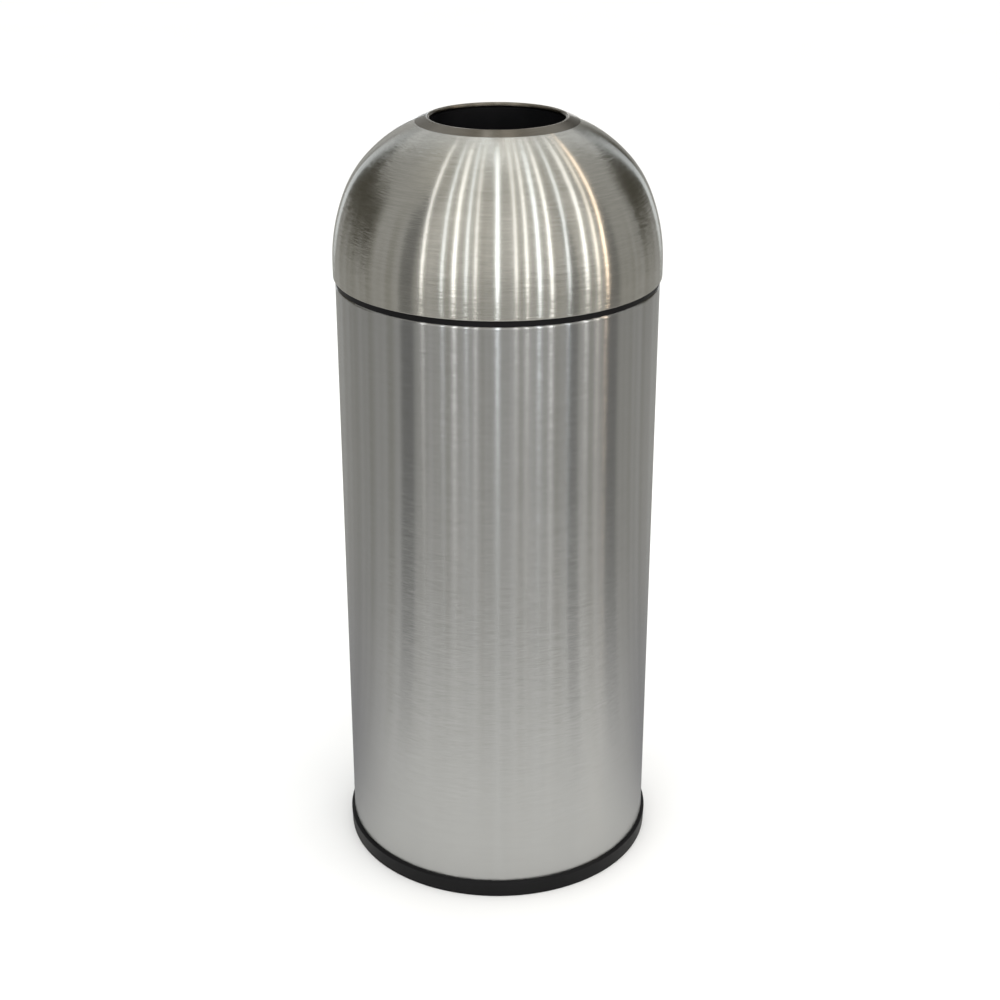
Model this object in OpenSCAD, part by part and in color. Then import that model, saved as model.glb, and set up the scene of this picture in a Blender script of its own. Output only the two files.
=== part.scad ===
// Open-top litter bin: a steel drum on a plastic base ring, a lift-off steel dome with a round mouth, and a
// lift-out galvanised liner with a swinging bail.
// Millimetres, +Z up, origin on the floor at the middle of the bin.

/* [Body] */
// Outside diameter of the steel body
body_d = 300; // [250:1:380]
// Height of the body's rolled top edge above the floor
body_h = 580.8; // [440:0.1:760]
// Thickness of the body sheet
body_sheet = 0.6; // [0.5:0.1:1.2]
// Outside radius of the rolled top edge
curl_r = 2.2; // [1.8:0.1:3]
// Straight tail that hangs below the rolled edge, inside the body
curl_tail = 2; // [1:0.5:4]

/* [Seam band] */
// Height of the black band that shows between the body and the dome
band_h = 5.2; // [3:0.1:12]
// How far the band is set back from the body's outside
band_setback = 0.5; // [0:0.1:1.5]

/* [Dome] */
// How far the dome stands out past the body
dome_overhang = 1.95; // [1.5:0.05:4]
// Thickness of the dome sheet
dome_sheet = 0.9; // [0.6:0.1:1.2]
// Height of the straight skirt at the dome's lower edge
skirt_h = 11.9; // [9:0.1:25]
// Radius of the dome's long lower curve
flank_r = 172; // [150:1:210]
// Where the lower curve ends, in degrees above the horizontal
flank_end = 22; // [10:1:30]
// Radius of the tighter shoulder curve
shoulder_r = 102; // [80:1:130]
// Where the shoulder curve ends, in degrees above the horizontal
shoulder_end = 43.5; // [35:0.5:50]
// Radius of the crown curve that runs up to the mouth
crown_r = 138; // [120:1:165]
// Width of the lip that is turned in at the dome's lower edge
lip_w = 3.3; // [2.8:0.1:5]
// Outside radius of the bend into that lip
lip_bend_r = 1.2; // [1:0.1:1.5]

/* [Mouth] */
// Clear diameter of the mouth
mouth_d = 121.6; // [90:0.1:150]
// Width of the steel mouth ring, seen from above
mouth_ring_w = 13.2; // [11:0.1:20]
// Thickness of the mouth ring's sheet
mouth_sheet = 1; // [0.8:0.1:1.2]
// Outside radius of the ring's rolled inner bead
bead_r = 2.4; // [2:0.1:3]
// Length of the plastic throat below the bead
throat_h = 20; // [12:1:40]
// Wall thickness of the plastic throat and its flange
throat_wall = 2.2; // [1.6:0.1:3]
// Number of welded studs that hold the mouth ring
stud_count = 4; // [3:1:8]
// Radius of each stud
stud_r = 1.5; // [1.5:0.25:2]

/* [Collar and lid ring] */
// Wall thickness of the plastic collar inside the body's top edge
collar_wall = 2.25; // [1.8:0.05:4]
// Thickness of the collar's ledge, which carries the liner
ledge_t = 3; // [2:0.5:4]
// How far the collar reaches below its ledge
collar_drop = 3; // [3:0.5:30]
// Depth that the lid ring's spigot reaches into the collar
spigot_h = 14; // [10:0.5:24]
// Wall thickness of the lid ring
lid_ring_wall = 2; // [1.6:0.1:2.4]
// Radial clearance of the spigot in the collar
spigot_gap = 0.5; // [0.3:0.1:1]

/* [Liner] */
// Thickness of the liner sheet
liner_sheet = 0.6; // [0.5:0.1:0.8]
// Height of the liner's foot above the floor
liner_z0 = 26; // [22:0.5:80]
// How much smaller the liner's radius is at its foot than at its rim
liner_taper = 9; // [2:0.5:25]
// Radial clearance of the liner's rim in the collar
rim_gap = 0.8; // [0.5:0.1:1.5]
// Radius of the wire rolled into the rim
rim_wire_r = 1.4; // [1:0.1:1.6]
// Radial clearance of the liner's wall, and of the rivet heads on it, inside the ledge
wall_gap = 2.4; // [2.2:0.1:4]
// Height of the liner's floor above its foot
floor_recess = 9; // [5:0.5:20]

/* [Bail] */
// Radius of the bail wire
bail_r = 2; // [1.5:0.1:2.5]
// Outside radius of the plastic grip on the bail
grip_r = 3.8; // [3:0.1:5]
// Radial clearance between the resting grip and the liner's rim
grip_gap = 0.3; // [0.2:0.1:2]
// Clearance between the resting grip and the lid ring's spigot above it
bail_clear = 1.4; // [0.8:0.1:6]
// Radial clearance between the bail and the ears
ear_gap = 1.15; // [0.8:0.05:3]
// Half of the angle that the grip covers, seen from above
grip_half = 22; // [10:1:40]
// Thickness of each ear
ear_t = 1.8; // [1.2:0.1:2.5]
// Width of each ear
ear_w = 24; // [20:1:36]
// Depth of each ear below the rim's flange
ear_drop = 26; // [22:1:50]
// Radius of the rivets that hold the ears
rivet_r = 1.6; // [1.2:0.1:2]
// Running clearance of the bail's ends in the ears
pivot_gap = 0.1; // [0.05:0.01:0.1]

/* [Base] */
// How far the base ring stands out past the body
base_proud = 3.2; // [2:0.1:8]
// Height of the base ring
base_h = 16.5; // [14:0.1:40]
// How much smaller the base ring's radius is at the floor
base_draft = 0.6; // [0:0.1:1.2]
// Radius of the base ring's top outer corner
base_round = 1.6; // [0.5:0.1:1.8]
// Thickness of the base ring's walls
base_wall = 2.6; // [2:0.1:4]
// Width of the base ring's inner ledge
base_ledge_w = 10; // [9:0.5:20]
// Thickness of the floor plate
plate_sheet = 0.8; // [0.6:0.1:1.5]
// Diameter of the floor plate's raised middle
plate_dish_d = 240; // [120:1:260]
// Number of screws that hold the floor plate
screw_count = 6; // [4:1:12]
// Radius of those screws
screw_r = 1.6; // [1.5:0.1:2]

/* [Hidden] */
$fn = 96;

// Clearances: between pieces of one body, between bodies that part, and round a screw, stud or rivet
fit_gap = 0.15;
face_gap = 0.05;
lift_gap = 0.2;
hole_gap = 0.1;

// How finely arcs are stepped, and how far a cutting tool runs past what it cuts
arc_step = 1.5;
corner_steps = 6;
cut_over = 1;

// Body
body_r = body_d / 2;
body_in = body_r - body_sheet;
curl_in = body_r - 2 * curl_r;
curl_z = body_h - curl_r;
tail_z = curl_z - curl_tail;

// Collar
collar_out = curl_in - fit_gap;
collar_in = collar_out - collar_wall;
collar_reach = body_in - fit_gap;
collar_below = 0.4;
collar_top = body_h - collar_below;
barb_h = 4;
barb_z = tail_z - fit_gap;
ledge_z = body_h + lift_gap - spigot_h - bail_clear - 2 * grip_r - 2 * lift_gap - liner_sheet;
collar_foot_z = ledge_z - ledge_t - collar_drop;

// Lid ring and dome edge
lid_z = body_h + lift_gap;
edge_z = lid_z + band_h;
spigot_out = collar_in - spigot_gap;
spigot_in = spigot_out - lid_ring_wall;
band_r = body_r - band_setback;
band_depth = 3.5;
dome_r = body_r + dome_overhang;
dome_in = dome_r - dome_sheet;
lip_in = dome_r - lip_w;
groove_r = lip_in - fit_gap;
groove_z = edge_z + dome_sheet + face_gap;
snap_r = dome_in - fit_gap;
skirt_z = edge_z + skirt_h;
lid_ring_below = 1;
lid_ring_top = skirt_z - lid_ring_below;

// Dome: three tangent arcs, from the skirt to the mouth ring
mouth_r = mouth_d / 2;
mouth_out = mouth_r + mouth_ring_w;
flank_c = [dome_r - flank_r, skirt_z];
shoulder_c = flank_c + (flank_r - shoulder_r) * ray(flank_end);
crown_c = shoulder_c + (shoulder_r - crown_r) * ray(shoulder_end);
crown_end = acos((mouth_out + fit_gap - crown_c[0]) / crown_r);
crown_tip = crown_c + crown_r * ray(crown_end);

// Mouth: a flange that carries on the crown's slope; u runs up the slope from its outer edge, t down into it
slope = 90 - crown_end;
seat_t = mouth_sheet + face_gap;
throat_t = seat_t + dome_sheet + face_gap;
joggle = seat_t * 180 / (PI * crown_r);
bead_cr = mouth_r + bead_r;
bead_tan = seat(bead_cr + bead_r * sin(slope), 0);
bead_c = bead_tan - bead_r * [sin(slope), cos(slope)];
bead_end = 210;
throat_setback = 0.5;
throat_in = mouth_r + throat_setback;
throat_out = throat_in + throat_wall;
throat_top = bead_c[1] - bead_r - lift_gap;
seat_land = 2;
seat_in = throat_out + seat_land;
stud_u = (crown_tip[0] - seat_in) / cos(slope) / 2;
stud_start = 45;
stud_out = 4.5;
stud_len = throat_t + throat_wall + stud_out - mouth_sheet;
nut_r = 2 * stud_r;
nut_h = 1.6 * stud_r;

// Liner
flange_z = ledge_z + lift_gap;
flange_top = flange_z + liner_sheet;
rim_r = rim_wire_r + face_gap + liner_sheet;
rim_cr = collar_in - rim_gap - rim_r;
rim_cz = flange_z + rim_r;
floor_z = liner_z0 + floor_recess;
floor_lift = 0.5;

// Bail and ears: inside the rim lies the bail, inside the bail the ears, and the wall behind the ears
pivot_z = flange_top + grip_r + lift_gap;
bail_cr = rim_cr - rim_r - grip_gap - grip_r;
ear_out = bail_cr - bail_r - ear_gap;
ear_in = ear_out - ear_t;
liner_top_r = ear_out + fit_gap + liner_sheet;
ledge_in = liner_top_r + wall_gap;
ear_head_wall = 4;
ear_head_r = bail_r + ear_head_wall;
ear_shoulder = 2;
ear_foot_z = flange_top - ear_drop;
pin_over = 1;
pin_len = bail_cr - ear_in + pin_over;
pin_head_r = bail_r + pin_over;
pin_head_t = 1.4;
rivet_drop = 14;
rivet_z = flange_top - rivet_drop;
rivet_turn = 3;
rivet_head_r = 1.9 * rivet_r;
rivet_head_t = 1;

// Base
base_out = body_r + base_proud;
base_web = 3;
base_corner = 1;
channel_out = body_r + fit_gap;
channel_in = body_in - fit_gap;
base_in = channel_in - base_wall;
inner_top = 12;
base_ledge_z = 9;
base_ledge_t = 3;
base_ledge_in = base_in - base_ledge_w;
shell_z0 = base_web + lift_gap;
plate_r = base_in - 2 * fit_gap;
plate_z = base_ledge_z + face_gap;
plate_rim_h = 8;
plate_rise = 4;
screw_cr = (base_in + base_ledge_in) / 2;
boss_r = 3.6;
boss_z0 = 1.5;
screw_head_r = 3.2;
screw_head_t = 1.8;
screw_len = 6;

function ray(a) = [cos(a), sin(a)];

function arc(c, r, a0, a1) =
    let (steps = max(2, ceil(abs(a1 - a0) / arc_step)))
    [for (i = [0:steps]) c + r * ray(a0 + (a1 - a0) * i / steps)];

function corner(c, r, a0, a1) = [for (i = [0:corner_steps]) c + r * ray(a0 + (a1 - a0) * i / corner_steps)];

function on_slope(u, t) =
    crown_tip + u * [-cos(slope), sin(slope)] - t * [sin(slope), cos(slope)];

function seat(r, t) = [r, crown_tip[1] + (crown_tip[0] - r) * tan(slope) - t / cos(slope)];

function liner_out(z) = liner_top_r - liner_taper * (flange_z - z) / (flange_z - liner_z0);

function liner_in(z) = liner_out(z) - liner_sheet;

module around(count, start = 0) {
    for (i = [0:count - 1])
        rotate([0, 0, start + i * 360 / count]) children();
}

// Puts its children on the mouth flange's slope, their +Z square to the flange and out of the bin
module on_mouth(t) {
    p = on_slope(stud_u, t);
    around(stud_count, stud_start)
        translate([p[0], 0, p[1]])
            rotate([0, slope, 0])
                children();
}

module stud_hole() {
    on_mouth(stud_len + mouth_sheet)
        cylinder(r = stud_r + hole_gap, h = stud_len);
}

module dome_shell() {
    lip_c = [dome_r - lip_bend_r, edge_z + lip_bend_r];
    color([0.72, 0.71, 0.68])
    difference() {
        rotate_extrude()
            polygon(concat(
                [[lip_in, edge_z]],
                corner(lip_c, lip_bend_r, -90, 0),
                arc(flank_c, flank_r, 0, flank_end),
                arc(shoulder_c, shoulder_r, flank_end, shoulder_end),
                arc(crown_c, crown_r, shoulder_end, crown_end),
                [on_slope(0, seat_t), seat(seat_in, seat_t), seat(seat_in, seat_t + dome_sheet)],
                [on_slope(-dome_sheet, seat_t + dome_sheet)],
                arc(crown_c, crown_r - dome_sheet, crown_end - joggle, shoulder_end),
                arc(shoulder_c, shoulder_r - dome_sheet, shoulder_end, flank_end),
                arc(flank_c, flank_r - dome_sheet, flank_end, 0),
                corner(lip_c, lip_bend_r - dome_sheet, 0, -90),
                [[lip_in, edge_z + dome_sheet]]
            ));
        stud_hole();
    }
}

module mouth_ring() {
    color([0.55, 0.52, 0.47])
        rotate_extrude()
            polygon(concat(
                [on_slope(fit_gap, mouth_sheet), on_slope(fit_gap, 0)],
                corner(bead_c, bead_r, 90 - slope, bead_end),
                corner(bead_c, bead_r - mouth_sheet, bead_end, 90 - slope)
            ));
}

module mouth_studs() {
    color("silver")
        on_mouth(mouth_sheet + stud_len)
            cylinder(r = stud_r, h = stud_len - face_gap);
}

module stud_nuts() {
    color("silver")
        on_mouth(throat_t + throat_wall + face_gap + nut_h)
            difference() {
                cylinder(r = nut_r, h = nut_h, $fn = 6);
                translate([0, 0, -cut_over])
                    cylinder(r = stud_r + hole_gap, h = nut_h + 2 * cut_over);
            }
}

module throat_ring() {
    neck_r = throat_out - throat_wall / 2;
    neck_z = seat(throat_out, throat_t + throat_wall / 2)[1];
    color([0.07, 0.07, 0.07])
    difference() {
        rotate_extrude()
            union() {
                polygon([
                    on_slope(fit_gap, throat_t),
                    seat(neck_r, throat_t),
                    seat(neck_r, throat_t + throat_wall),
                    on_slope(fit_gap, throat_t + throat_wall)
                ]);
                polygon([
                    [throat_in, throat_top - throat_h],
                    [throat_out, throat_top - throat_h],
                    [throat_out, neck_z],
                    [neck_r, neck_z],
                    [neck_r, throat_top],
                    [throat_in, throat_top]
                ]);
            }
        stud_hole();
    }
}

module lid_ring() {
    color([0.08, 0.08, 0.09])
        rotate_extrude()
            polygon([
                [spigot_in, lid_z - spigot_h],
                [spigot_out, lid_z - spigot_h],
                [spigot_out, lid_z],
                [band_r, lid_z],
                [band_r, edge_z - face_gap],
                [groove_r, edge_z - face_gap],
                [groove_r, groove_z],
                [snap_r, groove_z],
                [snap_r, lid_ring_top],
                [snap_r - lid_ring_wall, lid_ring_top],
                [snap_r - lid_ring_wall, groove_z + lid_ring_wall],
                [band_r - band_depth, groove_z + lid_ring_wall],
                [band_r - band_depth, lid_z + lid_ring_wall],
                [spigot_in, lid_z + lid_ring_wall]
            ]);
}

module body_shell() {
    curl_c = [body_r - curl_r, curl_z];
    color([0.66, 0.66, 0.66])
        rotate_extrude()
            polygon(concat(
                [[body_in, shell_z0], [body_r, shell_z0]],
                corner(curl_c, curl_r, 0, 180),
                [[curl_in, tail_z], [curl_in + body_sheet, tail_z]],
                corner(curl_c, curl_r - body_sheet, 180, 0)
            ));
}

module top_collar() {
    color([0.1, 0.1, 0.11])
        rotate_extrude()
            polygon([
                [collar_in, collar_foot_z],
                [collar_reach, collar_foot_z],
                [collar_reach, collar_foot_z + collar_wall],
                [collar_out, collar_foot_z + collar_wall],
                [collar_out, barb_z - barb_h],
                [collar_reach, barb_z],
                [collar_out, barb_z],
                [collar_out, collar_top],
                [collar_in, collar_top],
                [collar_in, ledge_z],
                [ledge_in, ledge_z],
                [ledge_in, ledge_z - ledge_t],
                [collar_in, ledge_z - ledge_t]
            ]);
}

module base_ring() {
    foot_r = base_out - base_draft;
    color([0.09, 0.09, 0.1])
    difference() {
        union() {
            rotate_extrude()
                polygon(concat(
                    [[base_in, 0]],
                    corner([foot_r - base_corner, base_corner], base_corner, -90, 0),
                    corner([base_out - base_round, base_h - base_round], base_round, 0, 90),
                    [[channel_out, base_h], [channel_out, base_web], [channel_in, base_web]],
                    [[channel_in, inner_top], [base_in, inner_top], [base_in, base_ledge_z]],
                    [[base_ledge_in, base_ledge_z], [base_ledge_in, base_ledge_z - base_ledge_t]],
                    [[base_in, base_ledge_z - base_ledge_t]]
                ));
            around(screw_count)
                translate([screw_cr, 0, boss_z0])
                    cylinder(r = boss_r, h = base_ledge_z - boss_z0);
        }
        around(screw_count)
            translate([screw_cr, 0, boss_z0 - cut_over])
                cylinder(r = screw_r + hole_gap, h = base_ledge_z + cut_over);
    }
}

module base_plate() {
    dish_r = plate_dish_d / 2;
    low_top = plate_z + plate_sheet;
    color([0.6, 0.6, 0.6])
    difference() {
        rotate_extrude()
            polygon([
                [0, plate_z + plate_rise],
                [dish_r - plate_rise, plate_z + plate_rise],
                [dish_r, plate_z],
                [plate_r, plate_z],
                [plate_r, plate_z + plate_rim_h],
                [plate_r - plate_sheet, plate_z + plate_rim_h],
                [plate_r - plate_sheet, low_top],
                [dish_r + plate_sheet / 2, low_top],
                [dish_r - plate_rise + plate_sheet / 2, low_top + plate_rise],
                [0, low_top + plate_rise]
            ]);
        around(screw_count)
            translate([screw_cr, 0, plate_z - cut_over])
                cylinder(r = screw_r + hole_gap, h = plate_sheet + 2 * cut_over);
    }
}

module base_screws() {
    head_z = plate_z + plate_sheet + face_gap;
    color("silver")
        around(screw_count)
            translate([screw_cr, 0, 0]) {
                translate([0, 0, head_z])
                    cylinder(r = screw_head_r, h = screw_head_t);
                translate([0, 0, head_z - screw_len])
                    cylinder(r = screw_r, h = screw_len);
            }
}

// Puts its children at each rivet, their +X pointing out through the liner's wall
module at_rivets() {
    for (side = [0, 180], turn = [-rivet_turn, rivet_turn])
        rotate([0, 0, side + turn])
            translate([0, 0, rivet_z])
                children();
}

module rivet_holes() {
    at_rivets()
        translate([ear_in - cut_over, 0, 0])
            rotate([0, 90, 0])
                cylinder(r = rivet_r + hole_gap, h = liner_top_r - ear_in + 2 * cut_over);
}

module liner_wall() {
    color([0.62, 0.64, 0.66])
    difference() {
        rotate_extrude()
            difference() {
                union() {
                    polygon([
                        [liner_in(liner_z0), liner_z0],
                        [liner_out(liner_z0), liner_z0],
                        [liner_top_r, flange_z],
                        [rim_cr, flange_z],
                        [rim_cr, flange_top],
                        [liner_top_r - liner_sheet, flange_top]
                    ]);
                    translate([rim_cr, rim_cz])
                        circle(r = rim_r);
                }
                translate([rim_cr, rim_cz])
                    circle(r = rim_wire_r + face_gap);
            }
        rivet_holes();
    }
}

module liner_floor() {
    foot = liner_z0 + floor_lift;
    top = floor_z + liner_sheet;
    color([0.6, 0.62, 0.64])
        rotate_extrude()
            polygon([
                [0, floor_z],
                [liner_in(floor_z) - fit_gap - liner_sheet, floor_z],
                [liner_in(foot) - fit_gap - liner_sheet, foot],
                [liner_in(foot) - fit_gap, foot],
                [liner_in(top) - fit_gap, top],
                [0, top]
            ]);
}

module rim_wire() {
    color("silver")
        rotate_extrude()
            translate([rim_cr, rim_cz])
                circle(r = rim_wire_r);
}

module ear_outline() {
    translate([-ear_w / 2, ear_foot_z])
        square([ear_w, ear_drop - ear_shoulder]);
    translate([-ear_head_r, ear_foot_z])
        square([2 * ear_head_r, pivot_z - ear_foot_z]);
    translate([0, pivot_z])
        circle(r = ear_head_r);
}

module liner_ears() {
    foot_r = liner_in(ear_foot_z) - fit_gap;
    ear_top = pivot_z + ear_head_r + cut_over;
    color([0.5, 0.5, 0.5])
    difference() {
        intersection() {
            rotate_extrude()
                polygon([
                    [foot_r - ear_t, ear_foot_z],
                    [foot_r, ear_foot_z],
                    [ear_out, flange_z],
                    [ear_out, ear_top],
                    [ear_in, ear_top],
                    [ear_in, flange_z]
                ]);
            rotate([90, 0, 90])
                translate([0, 0, -body_r])
                    linear_extrude(height = body_d)
                        ear_outline();
        }
        translate([-body_r, 0, pivot_z])
            rotate([0, 90, 0])
                cylinder(r = bail_r + pivot_gap, h = body_d);
        rivet_holes();
    }
}

module ear_rivets() {
    inner = liner_in(rivet_z) - fit_gap - ear_t - fit_gap;
    outer = liner_out(rivet_z) + fit_gap;
    color("gainsboro")
        at_rivets()
            rotate([0, 90, 0]) {
                translate([0, 0, inner])
                    cylinder(r = rivet_r, h = outer - inner);
                translate([0, 0, inner - rivet_head_t])
                    cylinder(r = rivet_head_r, h = rivet_head_t);
                translate([0, 0, outer])
                    cylinder(r = rivet_head_r, h = rivet_head_t);
            }
}

module bail_wire() {
    color([0.7, 0.7, 0.72])
        translate([0, 0, pivot_z]) {
            rotate_extrude(angle = 180)
                translate([bail_cr, 0])
                    circle(r = bail_r);
            for (side = [0, 180])
                rotate([0, 0, side]) {
                    translate([bail_cr, 0, 0])
                        sphere(r = bail_r);
                    translate([bail_cr - pin_len - pin_head_t, 0, 0])
                        rotate([0, 90, 0])
                            cylinder(r = bail_r, h = pin_len + pin_head_t);
                    translate([bail_cr - pin_len - pin_head_t, 0, 0])
                        rotate([0, 90, 0])
                            cylinder(r = pin_head_r, h = pin_head_t);
                }
        }
}

module bail_grip() {
    color([0.1, 0.1, 0.1])
        translate([0, 0, pivot_z])
            rotate([0, 0, 90 - grip_half])
                rotate_extrude(angle = 2 * grip_half)
                    translate([bail_cr, 0])
                        difference() {
                            circle(r = grip_r);
                            circle(r = bail_r + face_gap);
                        }
}

dome_shell();
mouth_ring();
mouth_studs();
stud_nuts();
throat_ring();
lid_ring();
body_shell();
top_collar();
base_ring();
base_plate();
base_screws();
liner_wall();
liner_floor();
rim_wire();
liner_ears();
ear_rivets();
bail_wire();
bail_grip();
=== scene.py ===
"""Looks for the open-top litter bin: brushed steel dome and drum, black plastic rings, galvanised liner.

Metres, +Z up, origin on the floor under the middle of the bin. The CAD frame gives every place and size.
"""

import math

import bpy
from mathutils import Matrix, Vector


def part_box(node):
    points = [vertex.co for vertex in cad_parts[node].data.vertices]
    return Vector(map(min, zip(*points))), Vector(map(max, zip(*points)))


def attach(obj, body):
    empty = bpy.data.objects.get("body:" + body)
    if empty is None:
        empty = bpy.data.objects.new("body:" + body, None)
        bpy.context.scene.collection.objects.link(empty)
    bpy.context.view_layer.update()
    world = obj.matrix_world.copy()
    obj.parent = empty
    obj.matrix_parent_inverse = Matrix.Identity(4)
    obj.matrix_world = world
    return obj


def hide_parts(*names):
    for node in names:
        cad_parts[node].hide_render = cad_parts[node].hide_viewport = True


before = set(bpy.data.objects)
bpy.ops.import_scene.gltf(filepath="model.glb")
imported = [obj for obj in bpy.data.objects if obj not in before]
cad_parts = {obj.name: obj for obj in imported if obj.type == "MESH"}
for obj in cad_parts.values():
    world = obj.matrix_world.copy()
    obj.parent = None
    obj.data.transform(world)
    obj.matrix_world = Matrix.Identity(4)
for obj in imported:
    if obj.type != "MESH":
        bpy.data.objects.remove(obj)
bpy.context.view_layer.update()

MM = 0.001
SHARP_ANGLE = math.radians(30)

# Sizes that a CAD node's box doesn't give
WELD_WIDTH = 1.2 * MM
GRIP_BORE = 2.05 * MM
GRIP_END_ROUND = 1.6 * MM
GRIP_RIBS = 18
RIB_DEPTH = 0.5 * MM
RIVET_TURN = math.radians(3)
RIVET_RADIUS = 1.6 * MM
RIVET_HEAD_RADIUS = 3.04 * MM
RIVET_HEAD_HEIGHT = 1.0 * MM
# How far apart a rivet's two heads are
RIVET_GRIP = 2.85 * MM
LINER_TOP_RADIUS = 131.8 * MM
# How much smaller the liner's radius is at its foot
LINER_TAPER = 9 * MM
LOCK_SEAM_WIDTH = 8 * MM
LOCK_SEAM_HEIGHT = 0.7 * MM
# How far the seam stays above the wall's foot and below its rim
LOCK_SEAM_ABOVE_FOOT = 1 * MM
LOCK_SEAM_BELOW_RIM = 9 * MM

# How finely the round pieces are stepped
GRIP_SIDES = 36
STEPS_PER_RIB = 14
RIVET_SIDES = 32
RIVET_HEAD_STEPS = 8
# Keeps the ring of points at a rivet head's pole from shrinking to one point
POLE_RADIUS = 0.001 * MM

# The camera: its place in metres, its downward tilt in degrees, its lens and sensor in millimetres
CAMERA_PLACE = (0.0022, -1.5764, 1.0376)
CAMERA_PITCH = 23.37
CAMERA_LENS = 63.27
SENSOR = 36.0


class Tree:
    """Short calls for a node tree. An input given as a socket is linked, and one given as a value is set."""

    def __init__(self, tree):
        self.tree = tree
        tree.nodes.clear()

    def add(self, kind, inputs=None, **settings):
        node = self.tree.nodes.new(kind)
        for key, value in settings.items():
            setattr(node, key, value)
        for key, value in (inputs or {}).items():
            if isinstance(value, bpy.types.NodeSocket):
                self.tree.links.new(value, node.inputs[key])
            else:
                node.inputs[key].default_value = value
        return node

    def math(self, operation, a, b=0.0):
        return self.add("ShaderNodeMath", {0: a, 1: b}, operation=operation).outputs[0]

    def vector(self, operation, a, b=(0.0, 0.0, 0.0)):
        return self.add("ShaderNodeVectorMath", {0: a, 1: b}, operation=operation).outputs[0]

    def remap(self, value, low, high, to_low=0.0, to_high=1.0):
        node = self.add("ShaderNodeMapRange", interpolation_type="SMOOTHSTEP")
        for index, given in enumerate((value, low, high, to_low, to_high)):
            if isinstance(given, bpy.types.NodeSocket):
                self.tree.links.new(given, node.inputs[index])
            else:
                node.inputs[index].default_value = given
        return node.outputs[0]

    def window(self, value, low, high, soft):
        """1 from low to high, falling to 0 over soft on either side."""
        rise = self.remap(value, low - soft, low)
        fall = self.remap(value, high, high + soft, 1.0, 0.0)
        return self.math("MULTIPLY", rise, fall)

    def mix(self, factor, a, b, blend="MIX"):
        node = self.add("ShaderNodeMix", {0: factor}, data_type="RGBA", blend_type=blend)
        for index, given in ((6, a), (7, b)):
            if isinstance(given, bpy.types.NodeSocket):
                self.tree.links.new(given, node.inputs[index])
            else:
                node.inputs[index].default_value = (*given, 1.0)
        return node.outputs[2]

    def noise(self, vector, scale, detail=3.0, roughness=0.55):
        inputs = {"Vector": vector, "Scale": scale, "Detail": detail, "Roughness": roughness}
        return self.add("ShaderNodeTexNoise", inputs).outputs["Fac"]

    def bump(self, height, distance, normal=None):
        inputs = {"Height": height, "Distance": distance, "Strength": 1.0}
        if normal is not None:
            inputs["Normal"] = normal
        return self.add("ShaderNodeBump", inputs).outputs[0]


def new_material(name):
    material = bpy.data.materials.new(name)
    material.use_nodes = True
    return material, Tree(material.node_tree)


def place(tree):
    return tree.add("ShaderNodeTexCoord").outputs["Object"]


def round_place(tree, around, across):
    """Coordinates that follow the circumference, so that noise read with them is drawn out round the bin."""
    xyz = tree.add("ShaderNodeSeparateXYZ", {0: place(tree)}).outputs
    flat = tree.add("ShaderNodeCombineXYZ", {0: xyz[0], 1: xyz[1]}).outputs[0]
    radius = tree.add("ShaderNodeVectorMath", {0: flat}, operation="LENGTH").outputs["Value"]
    unit = tree.vector("NORMALIZE", flat)
    turned = tree.vector("MULTIPLY", unit, (around, around, 0.0))
    run = tree.math("MULTIPLY", tree.math("SUBTRACT", xyz[2], radius), across)
    rise = tree.add("ShaderNodeCombineXYZ", {2: run}).outputs[0]
    return tree.vector("ADD", turned, rise)


def grooved_normal(tree, tangent, lean):
    """The surface normal, leant up or down by each brushed groove.

    A reflection is then drawn out along the meridian, and stays sharp round the bin.
    """
    groove = tree.noise(round_place(tree, around=10.0, across=1400.0), 1.0, detail=5.0, roughness=0.85)
    normal = tree.add("ShaderNodeNewGeometry").outputs["Normal"]
    uphill = tree.vector("CROSS_PRODUCT", normal, tangent)
    amount = tree.math("MULTIPLY", tree.math("SUBTRACT", groove, 0.5), lean)
    spread = tree.add("ShaderNodeCombineXYZ", {0: amount, 1: amount, 2: amount}).outputs[0]
    return tree.vector("NORMALIZE", tree.vector("ADD", normal, tree.vector("MULTIPLY", uphill, spread)))


def weld_line(tree):
    """1 along the ground-down weld that closes the drum, up the middle of its back."""
    xyz = tree.add("ShaderNodeSeparateXYZ", {0: place(tree)}).outputs
    line = tree.window(xyz[0], -WELD_WIDTH / 2, WELD_WIDTH / 2, WELD_WIDTH / 4)
    return tree.math("MULTIPLY", line, tree.math("GREATER_THAN", xyz[1], 0.0))


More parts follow.
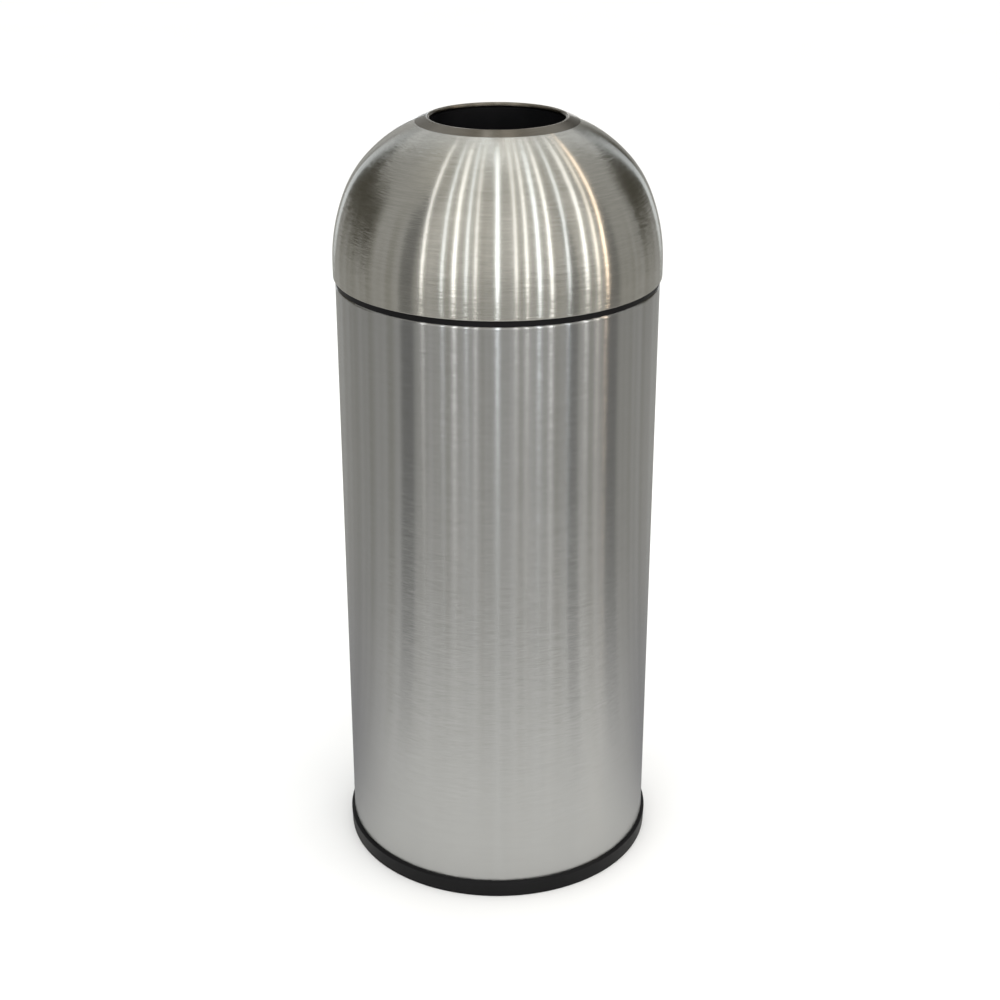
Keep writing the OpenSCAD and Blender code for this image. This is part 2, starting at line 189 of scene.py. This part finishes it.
def brushed_steel(name, light, dark, roughness, lean, welded=False):
    """Stainless steel brushed round the circumference, so that reflections stretch up and down."""
    material, t = new_material(name)
    fine = t.noise(round_place(t, around=6.0, across=1000.0), 1.0, roughness=0.6)
    bands = t.noise(round_place(t, around=1.5, across=260.0), 1.0)
    cloud = t.noise(place(t), 9.0, detail=2.0)
    tone = t.remap(fine, 0.3, 0.7, 0.0, 0.7)
    tone = t.math("ADD", tone, t.remap(bands, 0.3, 0.7, 0.0, 0.3))
    colour = t.mix(tone, dark, light)
    rough = t.math("ADD", t.remap(fine, 0.25, 0.75, roughness - 0.02, roughness + 0.02),
                   t.remap(cloud, 0.3, 0.7, -0.01, 0.01))
    if welded:
        weld = weld_line(t)
        colour = t.mix(t.math("MULTIPLY", weld, 0.7), colour, (0.34, 0.32, 0.28))
        rough = t.math("ADD", rough, t.math("MULTIPLY", weld, 0.12))
    tangent = t.add("ShaderNodeTangent", direction_type="RADIAL", axis="Z").outputs[0]
    shader = t.add("ShaderNodeBsdfPrincipled", {
        "Base Color": colour, "Metallic": 1.0, "Roughness": rough, "Anisotropic": 1.0,
        "Anisotropic Rotation": 0.25, "Tangent": tangent,
        "Normal": grooved_normal(t, tangent, lean)})
    t.add("ShaderNodeOutputMaterial", {0: shader.outputs[0]})
    return material


def smooth_steel(name, light, dark, roughness):
    """Polished steel with faint turning marks and finger smudges."""
    material, t = new_material(name)
    turning = t.noise(round_place(t, around=5.0, across=900.0), 1.0)
    smudge = t.noise(place(t), 40.0, detail=4.0)
    colour = t.mix(t.remap(turning, 0.3, 0.7), dark, light)
    rough = t.remap(smudge, 0.35, 0.7, roughness - 0.04, roughness + 0.06)
    shader = t.add("ShaderNodeBsdfPrincipled", {
        "Base Color": colour, "Metallic": 1.0, "Roughness": rough,
        "Normal": t.bump(turning, 0.004 * MM)})
    t.add("ShaderNodeOutputMaterial", {0: shader.outputs[0]})
    return material


def plastic(name, light, dark, roughness, grain_depth):
    """Moulded plastic: a fine grain, and patches that are rubbed a little smoother."""
    material, t = new_material(name)
    grain = t.noise(place(t), 1400.0, detail=2.0)
    patches = t.noise(place(t), 25.0)
    colour = t.mix(t.remap(patches, 0.3, 0.7), dark, light)
    rough = t.math("ADD", t.remap(patches, 0.3, 0.7, roughness - 0.05, roughness + 0.05),
                   t.remap(grain, 0.3, 0.7, -0.04, 0.04))
    shader = t.add("ShaderNodeBsdfPrincipled", {
        "Base Color": colour, "Roughness": rough, "IOR": 1.5, "Specular IOR Level": 0.18,
        "Normal": t.bump(grain, grain_depth)})
    t.add("ShaderNodeOutputMaterial", {0: shader.outputs[0]})
    return material


def galvanised(name, light, dark, roughness, spangle):
    """Zinc coating with its spangle: flat crystals that each catch the light their own way."""
    material, t = new_material(name)
    wander = t.add("ShaderNodeTexNoise", {"Vector": place(t), "Scale": 30.0}).outputs["Color"]
    bend = t.vector("MULTIPLY", wander, (0.012, 0.012, 0.012))
    bent = t.vector("ADD", place(t), bend)
    cells = t.add("ShaderNodeTexVoronoi", {"Vector": bent, "Scale": 1.0 / spangle})
    crystal = t.add("ShaderNodeSeparateColor", {0: cells.outputs["Color"]}).outputs
    grain = t.noise(place(t), 900.0)
    colour = t.mix(crystal[0], dark, light)
    rough = t.math("ADD", t.remap(crystal[1], 0.0, 1.0, roughness - 0.08, roughness + 0.08),
                   t.remap(grain, 0.3, 0.7, -0.03, 0.03))
    lean = t.bump(crystal[2], 0.02 * MM)
    shader = t.add("ShaderNodeBsdfPrincipled", {
        "Base Color": colour, "Metallic": 1.0, "Roughness": rough,
        "Normal": t.bump(grain, 0.01 * MM, lean)})
    t.add("ShaderNodeOutputMaterial", {0: shader.outputs[0]})
    return material


# Each material's light and dark tones, its roughness, and then the lean of its grooves, or the size of its
# spangle or the depth of its grain
MATERIALS = {
    "dome": brushed_steel("dome_brushed_steel", (0.64, 0.625, 0.58), (0.55, 0.54, 0.495), 0.20, 1.1),
    "body": brushed_steel(
        "body_brushed_steel", (0.535, 0.535, 0.53), (0.505, 0.505, 0.495), 0.20, 0.6, welded=True),
    # The mouth ring's tones are far darker than bare steel: painted shade, standing in for the dark
    # surroundings its polished face reflects. Their faint variation with the turning marks is the ring's own.
    "ring": smooth_steel("mouth_ring_steel", (0.20, 0.178, 0.146), (0.17, 0.152, 0.124), 0.22),
    "liner": galvanised("galvanised_sheet", (0.66, 0.68, 0.70), (0.46, 0.48, 0.50), 0.38, 9 * MM),
    "plate": galvanised("galvanised_floor", (0.62, 0.63, 0.64), (0.48, 0.49, 0.50), 0.42, 6 * MM),
    "zinc": galvanised("zinc_hardware", (0.72, 0.72, 0.70), (0.60, 0.60, 0.58), 0.30, 1.5 * MM),
    "black": plastic("black_plastic", (0.005, 0.0048, 0.0056), (0.0035, 0.0035, 0.004), 0.45, 0.02 * MM),
    "grip": plastic("grip_plastic", (0.014, 0.014, 0.015), (0.008, 0.008, 0.009), 0.5, 0.03 * MM),
}

NODE_MATERIAL = {
    "dome_shell": "dome", "mouth_ring": "ring", "mouth_studs": "zinc", "stud_nuts": "zinc",
    "throat_ring": "black", "lid_ring": "black", "body_shell": "body", "top_collar": "black",
    "base_ring": "black", "base_plate": "plate", "base_screws": "zinc", "liner_wall": "liner",
    "liner_floor": "liner", "rim_wire": "zinc", "liner_ears": "liner", "ear_rivets": "zinc",
    "bail_wire": "zinc", "bail_grip": "grip",
}

for node_name, material_key in NODE_MATERIAL.items():
    for material_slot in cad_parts[node_name].material_slots:
        material_slot.material = MATERIALS[material_key]


def loft(rings):
    """Points and faces of a closed skin through rings of points, the last ring joined to the first."""
    count = len(rings[0])
    points = [point for ring in rings for point in ring]
    faces = []
    for i in range(len(rings)):
        here, there = i * count, (i + 1) % len(rings) * count
        for j in range(count):
            k = (j + 1) % count
            faces.append((here + j, here + k, there + k, there + j))
    return points, faces


def add_piece(name, points, faces, material_key, body, slot, *nodes):
    """A new piece that rides on a body, takes its finish from the material key and stands for the CAD nodes
    named, which it hides. The slot is not used.
    """
    mesh = bpy.data.meshes.new(name)
    mesh.from_pydata(points, [], faces)
    mesh.materials.append(MATERIALS[material_key])
    mesh.shade_smooth()
    mesh.set_sharp_from_angle(angle=SHARP_ANGLE)
    piece = bpy.data.objects.new(name, mesh)
    bpy.context.scene.collection.objects.link(piece)
    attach(piece, body)
    if nodes:
        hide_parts(*nodes)


def ribbed_grip():
    """The moulded grip on the bail: rounded ends, and ribs along its length."""
    low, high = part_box("bail_grip")
    radius = (high.z - low.z) / 2
    middle = (high.z + low.z) / 2
    reach = high.y - radius
    half = math.asin(high.x / (reach + radius))
    steps = GRIP_RIBS * STEPS_PER_RIB

    def ring(share, size):
        """Points round the bail's wire, at this share of the grip's length."""
        turn = math.pi / 2 + half * (1 - 2 * share)
        points = []
        for j in range(GRIP_SIDES):
            a = 2 * math.pi * j / GRIP_SIDES
            r = reach + size * math.cos(a)
            points.append((r * math.cos(turn), r * math.sin(turn), middle + size * math.sin(a)))
        return points

    rings = []
    for i in range(steps + 1):
        share = i / steps
        from_end = min(share, 1 - share) * 2 * half * reach
        size = radius
        if from_end < GRIP_END_ROUND:
            size -= GRIP_END_ROUND - math.sqrt(GRIP_END_ROUND ** 2 - (GRIP_END_ROUND - from_end) ** 2)
        elif from_end > 3 * GRIP_END_ROUND:
            size -= RIB_DEPTH * max(0.0, math.cos(2 * math.pi * GRIP_RIBS * share)) ** 4
        rings.append(ring(share, size))
    rings += [ring(1.0, GRIP_BORE), ring(0.5, GRIP_BORE), ring(0.0, GRIP_BORE)]
    add_piece("grip_ribbed", *loft(rings), "grip", "bail", "grip_plastic", "bail_grip")


def rivet_profile(inner, outer):
    """Radius and place along the shank, from the inner head's pole to the outer head's pole."""
    head = []
    for i in range(RIVET_HEAD_STEPS + 1):
        a = math.pi / 2 * i / RIVET_HEAD_STEPS
        head.append((RIVET_HEAD_RADIUS * math.sin(a) + POLE_RADIUS, RIVET_HEAD_HEIGHT * (1 - math.cos(a))))
    shank = [(RIVET_RADIUS, inner + RIVET_HEAD_HEIGHT), (RIVET_RADIUS, outer - RIVET_HEAD_HEIGHT)]
    return [(r, inner + h) for r, h in head] + shank + [(r, outer - h) for r, h in reversed(head)]


def domed_rivets():
    """The four rivets that hold the bail's ears, with pressed, domed heads."""
    low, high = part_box("ear_rivets")
    height = (low.z + high.z) / 2
    outer = (high.x - RIVET_HEAD_RADIUS * math.sin(RIVET_TURN)) / math.cos(RIVET_TURN)
    profile = rivet_profile(outer - RIVET_GRIP - 2 * RIVET_HEAD_HEIGHT, outer)
    points, faces = [], []
    for side in (0, math.pi):
        for turn in (-RIVET_TURN, RIVET_TURN):
            c, s = math.cos(side + turn), math.sin(side + turn)
            start = len(points)
            for r, along in profile:
                for j in range(RIVET_SIDES):
                    a = 2 * math.pi * j / RIVET_SIDES
                    across = r * math.cos(a)
                    points.append((along * c - across * s, along * s + across * c, height + r * math.sin(a)))
            for i in range(len(profile) - 1):
                here, there = start + i * RIVET_SIDES, start + (i + 1) * RIVET_SIDES
                for j in range(RIVET_SIDES):
                    k = (j + 1) % RIVET_SIDES
                    faces.append((here + j, here + k, there + k, there + j))
            last = start + (len(profile) - 1) * RIVET_SIDES
            faces.append(tuple(start + j for j in range(RIVET_SIDES))[::-1])
            faces.append(tuple(last + j for j in range(RIVET_SIDES)))
    add_piece("ear_rivets_domed", points, faces, "zinc", "liner", "zinc_hardware", "ear_rivets")


def lock_seam():
    """The folded seam that closes the liner's wall, up the middle of its back."""
    low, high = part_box("liner_wall")
    foot, head = low.z + LOCK_SEAM_ABOVE_FOOT, high.z - LOCK_SEAM_BELOW_RIM
    tall = high.z - low.z
    # A flat fold with two bevelled corners, sunk a little into the wall, as shares of its width and height
    corners = ((-0.5, -0.1), (0.5, -0.1), (0.5, 0.6), (0.42, 1.0), (-0.42, 1.0), (-0.5, 0.6))
    outline = [(across * LOCK_SEAM_WIDTH, out * LOCK_SEAM_HEIGHT) for across, out in corners]
    points = []
    for z in (foot, head):
        wall = LINER_TOP_RADIUS - LINER_TAPER * (high.z - z) / tall
        for across, out in outline:
            turn = math.pi / 2 - across / wall
            points.append(((wall + out) * math.cos(turn), (wall + out) * math.sin(turn), z))
    count = len(outline)
    faces = [tuple(range(count)), tuple(range(2 * count - 1, count - 1, -1))]
    for j in range(count):
        k = (j + 1) % count
        faces.append((k, j, j + count, k + count))
    add_piece("liner_lock_seam", points, faces, "liner", "liner", "galvanised")


ribbed_grip()
domed_rivets()
lock_seam()


# ---- The studio ----

WHITE = (1.0, 1.0, 1.0)
COOL = (0.88, 0.94, 1.0)
WARM = (1.0, 0.93, 0.84)
PEACH = (1.0, 0.80, 0.62)


def bearing(tree, xyz):
    """Degrees round the bin's axis, 0 on the camera's side."""
    turn = tree.math("ARCTAN2", xyz[0], tree.math("MULTIPLY", xyz[1], -1.0))
    return tree.math("MULTIPLY", turn, 180 / math.pi)


# Narrow dark gaps between the lights: where each starts and ends and how softly, in degrees round the bin
GAPS = ((-67, -60, 4), (49, 55, 2), (80, 88, 4))
GAP_SHADE = (0.50, 0.50, 0.50)
# Dark corners of the room, beside and behind the bin, in the same way, and how high they reach in degrees
DARK_CORNERS = ((-152, -104, 12), (124, 160, 14))
CORNER_SHADE = (0.07, 0.065, 0.05)
CORNER_HEIGHT = (-2, 23, 9)
# The lit wall in front of the bin, the dimmer wall round the rest of it, and the ceiling
FRONT_SPAN = (-50, 80, 8)
FRONT_WALL = (0.70, 0.69, 0.66)
BACK_WALL = (0.42, 0.42, 0.41)
CEILING = (0.52, 0.51, 0.47)
CEILING_START, CEILING_FULL = 42, 60
# The floor: how far it reaches in metres, its paper's two tones, and its greys as the steel reflects it
FLOOR_REACH = 40.0
PAPER_TONES = ((0.87, 0.87, 0.87), (0.89, 0.89, 0.89))
FOOT_SPAN = (-50, 55, 75)
FOOT_FRONT = (0.69, 0.69, 0.68)
FOOT_SIDES = (0.26, 0.26, 0.27)
FAR_FLOOR = (0.31, 0.31, 0.305)
FOOT_END, FAR_START = 0.15, 1.0


def uneven(tree, azimuth):
    """How the surroundings vary round the bin: soft panels of light, with a few dark gaps between them."""
    around = tree.add("ShaderNodeCombineXYZ", {0: tree.math("MULTIPLY", azimuth, 0.16)}).outputs[0]
    panels = tree.remap(tree.noise(around, 1.0, roughness=0.6), 0.3, 0.7)
    colour = tree.mix(panels, (0.74, 0.73, 0.68), (1.16, 1.16, 1.18))
    for gap in GAPS:
        colour = tree.mix(tree.window(azimuth, *gap), colour, GAP_SHADE)
    return colour


def stage_floor():
    """White paper. Reflections see it greyer away from the bin's foot, as if the sheet were small."""
    mesh = bpy.data.meshes.new("floor")
    corners = [(x * FLOOR_REACH, y * FLOOR_REACH, 0) for x, y in ((-1, -1), (1, -1), (1, 1), (-1, 1))]
    mesh.from_pydata(corners, [], [(0, 1, 2, 3)])
    floor = bpy.data.objects.new("floor", mesh)
    bpy.context.scene.collection.objects.link(floor)
    material, t = new_material("floor_paper")
    paper = t.mix(t.remap(t.noise(place(t), 3.0), 0.3, 0.7), *PAPER_TONES)
    reach = t.add("ShaderNodeVectorMath", {0: place(t)}, operation="LENGTH").outputs["Value"]
    azimuth = bearing(t, t.add("ShaderNodeSeparateXYZ", {0: place(t)}).outputs)
    far = t.mix(1.0, FAR_FLOOR, uneven(t, azimuth), "MULTIPLY")
    foot = t.mix(t.window(azimuth, *FOOT_SPAN), FOOT_SIDES, FOOT_FRONT)
    reflected = t.mix(t.remap(reach, FOOT_END, FAR_START), foot, far)
    shade = t.mix(t.add("ShaderNodeLightPath").outputs["Is Glossy Ray"], paper, reflected)
    shader = t.add("ShaderNodeBsdfPrincipled", {
        "Base Color": shade, "Roughness": 0.9, "Specular IOR Level": 0.0})
    t.add("ShaderNodeOutputMaterial", {0: shader.outputs[0]})
    mesh.materials.append(material)


def studio_world():
    """A plain studio: white to the camera past the floor, with uneven walls for the steel to reflect."""
    world = bpy.data.worlds.new("studio")
    bpy.context.scene.world = world
    world.use_nodes = True
    t = Tree(world.node_tree)
    xyz = t.add("ShaderNodeSeparateXYZ", {0: t.add("ShaderNodeTexCoord").outputs["Generated"]}).outputs
    azimuth = bearing(t, xyz)
    height = t.math("MULTIPLY", t.math("ARCSINE", xyz[2]), 180 / math.pi)
    colour = t.mix(t.window(azimuth, *FRONT_SPAN), BACK_WALL, FRONT_WALL)
    colour = t.mix(1.0, colour, uneven(t, azimuth), "MULTIPLY")
    band = t.window(height, *CORNER_HEIGHT)
    for corner in DARK_CORNERS:
        colour = t.mix(t.math("MULTIPLY", t.window(azimuth, *corner), band), colour, CORNER_SHADE)
    colour = t.mix(t.remap(height, CEILING_START, CEILING_FULL), colour, CEILING)
    seen = t.mix(t.add("ShaderNodeLightPath").outputs["Is Camera Ray"], colour, WHITE)
    shader = t.add("ShaderNodeBackground", {0: seen, 1: 1.0})
    t.add("ShaderNodeOutputWorld", {0: shader.outputs[0]})


def area_light(name, low, high, faces, width, radiance, colour):
    """A flat strip light from low to high, turned to shine at the point it faces."""
    light = bpy.data.lights.new(name, "AREA")
    light.shape = "RECTANGLE"
    light.size, light.size_y = width, (high - low).length
    light.energy = radiance * math.pi * light.size * light.size_y
    light.color = colour
    lamp = bpy.data.objects.new(name, light)
    bpy.context.scene.collection.objects.link(lamp)
    lamp.location = (low + high) / 2
    along = (high - low).normalized()
    back = lamp.location - faces
    back = (back - along * back.dot(along)).normalized()
    lamp.rotation_euler = Matrix((along.cross(back), along, back)).transposed().to_euler()
    lamp.visible_camera = False


# Strip lights in front of the bin: degrees from the camera's side, width in degrees, brightness, colour
ARCHED_STRIPS = [
    (-50, 1.5, 2.0, WHITE), (-36, 1.2, 2.1, COOL), (-28, 1.8, 2.3, WHITE), (-20, 1.2, 2.1, COOL),
    (-14, 1.2, 1.6, WHITE), (0, 1.5, 3.6, COOL), (12, 1.5, 1.6, WHITE), (19, 1.2, 2.4, WHITE),
    (27, 1.8, 2.5, COOL), (35, 1.5, 2.7, WHITE), (47, 1.2, 2.5, COOL), (60, 2.4, 1.9, WHITE),
    (69, 1.8, 1.8, WARM), (76, 1.8, 3.2, PEACH),
]
ARCH_CENTRE = Vector((0, 0, 0.65))
ARCH_RADIUS = 2.3
# The heights where an arch is split into straight lamps, in degrees, and how bright each lamp is for its arch
ARCH_CLIMBS = (-12, 16.5, 45, 73.5, 102)
ARCH_SHARES = (1.5, 1.0, 0.9, 0.65)
# Strip lights behind the bin, with the same four values
LEANING_STRIPS = [
    (150, 7.5, 0.6, COOL), (172, 1.6, 1.6, WHITE), (-172, 1.6, 2.0, COOL), (-150, 7.5, 0.6, COOL),
]
# Each of them leans in over the bin: its foot and its head, as distance from the bin's axis and height
STRIP_FOOT = (2.2, 0.12)
STRIP_HEAD = (0.25, 3.6)
# They shine at this point
STRIP_AIM = Vector((0, 0, 0.1))
# The wide, soft light from above that whitens the floor
FILL_ANGLE = math.radians(120)
FILL_ENERGY = 2.2


def outward(turn):
    """The level direction at this many degrees from the camera's side."""
    return Vector((math.sin(math.radians(turn)), -math.cos(math.radians(turn)), 0))


def arch_point(azimuth, climb):
    """A point of the arch whose streak stays on one meridian of the dome, all the way up to the mouth.

    That meridian lies halfway between the lamp and the viewer. The arch keeps its angle to the grooves there.
    """
    half = azimuth / 2
    climb = math.radians(climb)
    rising = outward(half) * math.cos(climb) + Vector((0, 0, math.sin(climb)))
    sideways = outward(half + 90)
    turn = math.radians(half)
    return ARCH_CENTRE + ARCH_RADIUS * (sideways * math.sin(turn) + rising * math.cos(turn))


def studio_lights():
    for azimuth, width, radiance, colour in ARCHED_STRIPS:
        size = ARCH_RADIUS * math.radians(width)
        points = [arch_point(azimuth, climb) for climb in ARCH_CLIMBS]
        for number, share in enumerate(ARCH_SHARES):
            low, high = points[number:number + 2]
            area_light(f"arch_{azimuth}_{number}", low, high, ARCH_CENTRE, size, radiance * share, colour)
    for azimuth, width, radiance, colour in LEANING_STRIPS:
        low, high = (outward(azimuth) * reach + Vector((0, 0, z)) for reach, z in (STRIP_FOOT, STRIP_HEAD))
        size = STRIP_FOOT[0] * math.radians(width)
        area_light(f"back_{azimuth}", low, high, STRIP_AIM, size, radiance, colour)
    fill = bpy.data.lights.new("ceiling_fill", "SUN")
    fill.angle = FILL_ANGLE
    fill.energy = FILL_ENERGY
    ceiling = bpy.data.objects.new("ceiling_fill", fill)
    bpy.context.scene.collection.objects.link(ceiling)
    ceiling.visible_camera = ceiling.visible_glossy = False


def camera():
    data = bpy.data.cameras.new("camera")
    data.lens = CAMERA_LENS
    data.sensor_width = SENSOR
    data.clip_start, data.clip_end = 0.05, 100.0
    viewer = bpy.data.objects.new("camera", data)
    bpy.context.scene.collection.objects.link(viewer)
    viewer.location = CAMERA_PLACE
    viewer.rotation_euler = (math.radians(90 - CAMERA_PITCH), 0, 0)
    bpy.context.scene.camera = viewer


stage_floor()
studio_world()
studio_lights()
camera()
bpy.context.scene.view_settings.view_transform = "Standard"
